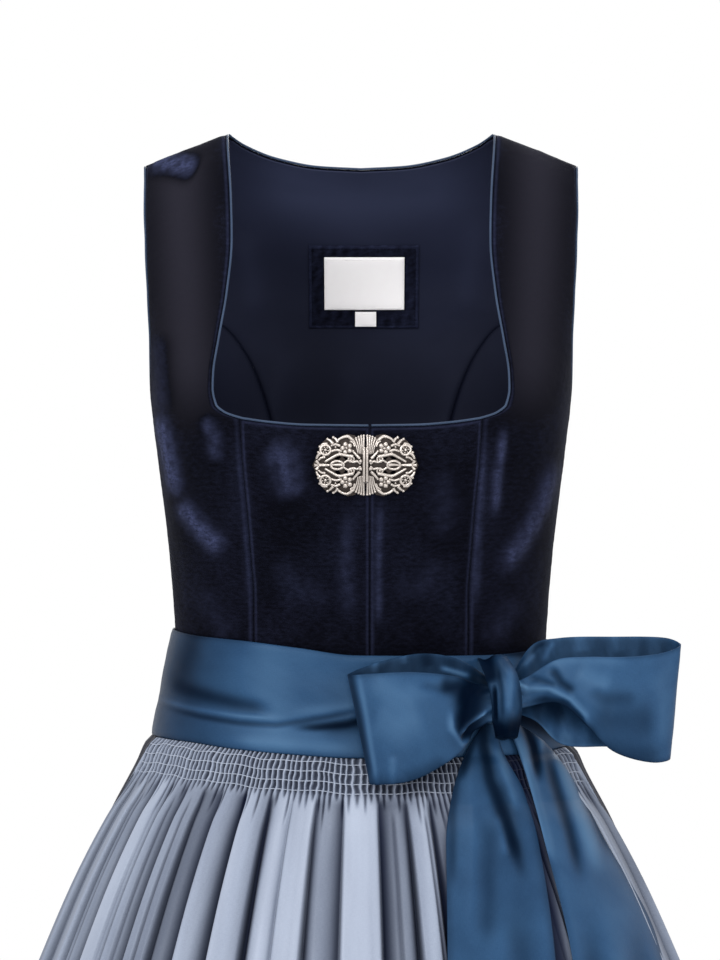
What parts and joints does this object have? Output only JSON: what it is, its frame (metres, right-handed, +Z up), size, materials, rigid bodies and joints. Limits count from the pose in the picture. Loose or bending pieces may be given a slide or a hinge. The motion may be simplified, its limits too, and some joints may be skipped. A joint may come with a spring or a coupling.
{
  "type": "dirndl",
  "caption": "Sleeveless folk dress: velvet bodice with wide straps and square neck, filigree clasp, gathered skirt, shirred taffeta apron with a satin band tied in a bow.",
  "frame": {"origin": "midway between the two neck points at the top of the shoulders, where a wearer or a hanger carries the dress", "axes": "+Z up along the body, +X to the wearer's left, the front faces -Y"},
  "size_m": [0.8016, 0.7744, 1.0903],
  "materials": {
    "velvet": "crushed pile with a soft sheen",
    "lining": "smooth sateen",
    "piping": "satin cord",
    "satin": "satin",
    "apron_taffeta": "crisp taffeta with a silvery sheen",
    "skirt_taffeta": "dark taffeta",
    "silver": "old silver, cast openwork",
    "label": "woven label, plain"
  },
  "bodies": {
    "root": {"front_centre_left": "velvet", "front_centre_right": "velvet", "front_side_left": "velvet", "front_side_right": "velvet", "back_side_left": "velvet", "back_side_right": "velvet", "back_centre": "velvet", "lining_side_left": "lining", "lining_side_right": "lining", "lining_centre": "lining", "neck_piping_front_left": "piping", "neck_piping_front_right": "piping", "neck_piping_back": "piping", "armhole_piping_left": "piping", "armhole_piping_right": "piping", "clasp_left": "silver", "clasp_right": "silver", "label_patch": "velvet", "label": "label", "size_tag": "label", "skirt_front": "skirt_taffeta", "skirt_back": "skirt_taffeta", "apron": "apron_taffeta", "waistband_front": "satin", "tie_round_back": "satin", "bow_loop_right": "satin", "bow_loop_left": "satin", "bow_knot": "satin", "bow_tail_right": "satin", "bow_tail_left": "satin"}
  },
  "joints": []
}
